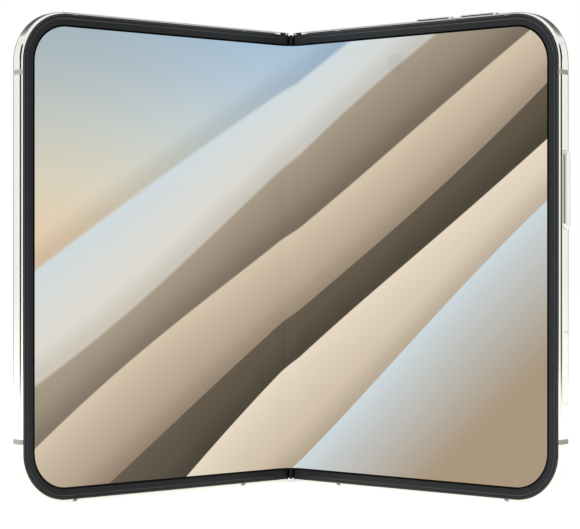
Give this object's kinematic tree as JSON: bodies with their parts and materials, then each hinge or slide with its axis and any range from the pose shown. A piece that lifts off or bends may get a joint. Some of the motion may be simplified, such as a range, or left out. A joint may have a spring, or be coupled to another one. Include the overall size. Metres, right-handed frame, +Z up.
{
  "type": "foldable smartphone",
  "caption": "Foldable smartphone standing half open like a book, with a bendable inner display, polished metal frame, geared hinge, cover display and rear cameras.",
  "frame": {"origin": "on the standing surface, in the middle of the footprint at the modelled fold angle", "axes": "+Z up along the hinge pins, +X from the cover-display leaf to the camera leaf, +Y away from the viewer of the inner display"},
  "size_m": [0.1354, 0.0549, 0.1212],
  "materials": {
    "polished_metal": "polished",
    "band_plastic": "satin",
    "dark_trim": "satin",
    "display": "glossy",
    "cover_glass": "glossy",
    "panel_black": "glossy",
    "back_glass": "satin",
    "lens": "glossy",
    "flash": "frosted",
    "midplate_metal": "satin",
    "hinge_steel": "satin",
    "spring_steel": "satin",
    "gear_metal": "satin",
    "battery_foil": "matt",
    "board": "satin",
    "shield": "satin",
    "copper": "satin",
    "magnet": "polished",
    "black_plastic": "matt",
    "flex_film": "satin"
  },
  "bodies": {
    "spine": {"spine_cover": "polished_metal", "hinge_plates": "hinge_steel", "hinge_pins": "hinge_steel", "cam_followers": "hinge_steel", "hinge_springs": "spring_steel", "hinge_end_caps": "dark_trim", "display_fold": "display", "fold_cable": "flex_film"},
    "left_leaf": {"left_frame": "polished_metal", "left_antenna_bands": "band_plastic", "left_midplate": "midplate_metal", "left_display": "display", "left_bezel": "dark_trim", "left_hinge_caps": "dark_trim", "left_hinge_arms": "gear_metal", "left_hinge_screws": "hinge_steel", "left_battery": "battery_foil", "left_magnets": "magnet", "sub_board": "board", "haptic_motor": "hinge_steel", "earpiece": "black_plastic", "cover_glass": "cover_glass", "cover_display": "panel_black", "cover_camera": "lens"},
    "right_leaf": {"right_frame": "polished_metal", "right_antenna_bands": "band_plastic", "right_midplate": "midplate_metal", "right_display": "display", "right_bezel": "dark_trim", "right_hinge_caps": "dark_trim", "right_hinge_arms": "gear_metal", "right_hinge_screws": "hinge_steel", "right_battery": "battery_foil", "right_magnets": "magnet", "main_board": "board", "board_shields": "shield", "loudspeaker": "black_plastic", "back_glass": "back_glass", "camera_plateau": "polished_metal", "camera_rings": "polished_metal", "camera_lenses": "lens", "camera_modules": "black_plastic", "flash_window": "flash", "inner_camera": "lens", "charging_coil": "copper", "usb_c_shell": "shield", "usb_c_tongue": "black_plastic", "button_switches": "black_plastic"},
    "idler_upper_left": {"idler_upper_left": "gear_metal"},
    "idler_upper_right": {"idler_upper_right": "gear_metal"},
    "idler_lower_left": {"idler_lower_left": "gear_metal"},
    "idler_lower_right": {"idler_lower_right": "gear_metal"},
    "power_button": {"power_button": "polished_metal"},
    "shutter_button": {"shutter_button": "polished_metal"},
    "volume_up_button": {"volume_up_button": "polished_metal"},
    "volume_down_button": {"volume_down_button": "polished_metal"}
  },
  "joints": [
    {"name": "left_fold", "type": "hinge", "parent": "spine", "child": "left_leaf", "pos_m": [-0.00265, 0.02424, 0.0603], "axis": [0, 0, 1], "range_deg": [-38, 52], "deforming": ["display_fold", "fold_cable"]},
    {"name": "right_fold", "type": "hinge", "parent": "spine", "child": "right_leaf", "pos_m": [0.00265, 0.02424, 0.0603], "axis": [0, 0, 1], "range_deg": [-52, 38], "deforming": ["display_fold", "fold_cable"]},
    {"name": "idler_upper_left_turn", "type": "hinge", "parent": "spine", "child": "idler_upper_left", "pos_m": [-0.00088, 0.02424, 0.0603], "axis": [0, 0, 1], "range_deg": [-52, 38]},
    {"name": "idler_upper_right_turn", "type": "hinge", "parent": "spine", "child": "idler_upper_right", "pos_m": [0.00088, 0.02424, 0.0603], "axis": [0, 0, 1], "range_deg": [-38, 52]},
    {"name": "idler_lower_left_turn", "type": "hinge", "parent": "spine", "child": "idler_lower_left", "pos_m": [-0.00088, 0.02424, 0.0603], "axis": [0, 0, 1], "range_deg": [-52, 38]},
    {"name": "idler_lower_right_turn", "type": "hinge", "parent": "spine", "child": "idler_lower_right", "pos_m": [0.00088, 0.02424, 0.0603], "axis": [0, 0, 1], "range_deg": [-38, 52]},
    {"name": "power_press", "type": "slide", "parent": "right_leaf", "child": "power_button", "axis": [-0.788, 0.6157, 0], "range_m": [0, 0.00025], "stiffness_N_per_m": 5000},
    {"name": "shutter_press", "type": "slide", "parent": "right_leaf", "child": "shutter_button", "axis": [-0.788, 0.6157, 0], "range_m": [0, 0.0002], "stiffness_N_per_m": 5000},
    {"name": "volume_up_press", "type": "slide", "parent": "right_leaf", "child": "volume_up_button", "axis": [0, 0, -1], "range_m": [0, 0.00025], "stiffness_N_per_m": 5000},
    {"name": "volume_down_press", "type": "slide", "parent": "right_leaf", "child": "volume_down_button", "axis": [0, 0, -1], "range_m": [0, 0.00025], "stiffness_N_per_m": 5000}
  ],
  "couplings": [
    {"joint": "right_fold", "follows": "left_fold", "ratio": -1},
    {"joint": "idler_upper_left_turn", "follows": "left_fold", "ratio": -1},
    {"joint": "idler_upper_right_turn", "follows": "left_fold", "ratio": 1},
    {"joint": "idler_lower_left_turn", "follows": "left_fold", "ratio": -1},
    {"joint": "idler_lower_right_turn", "follows": "left_fold", "ratio": 1}
  ]
}
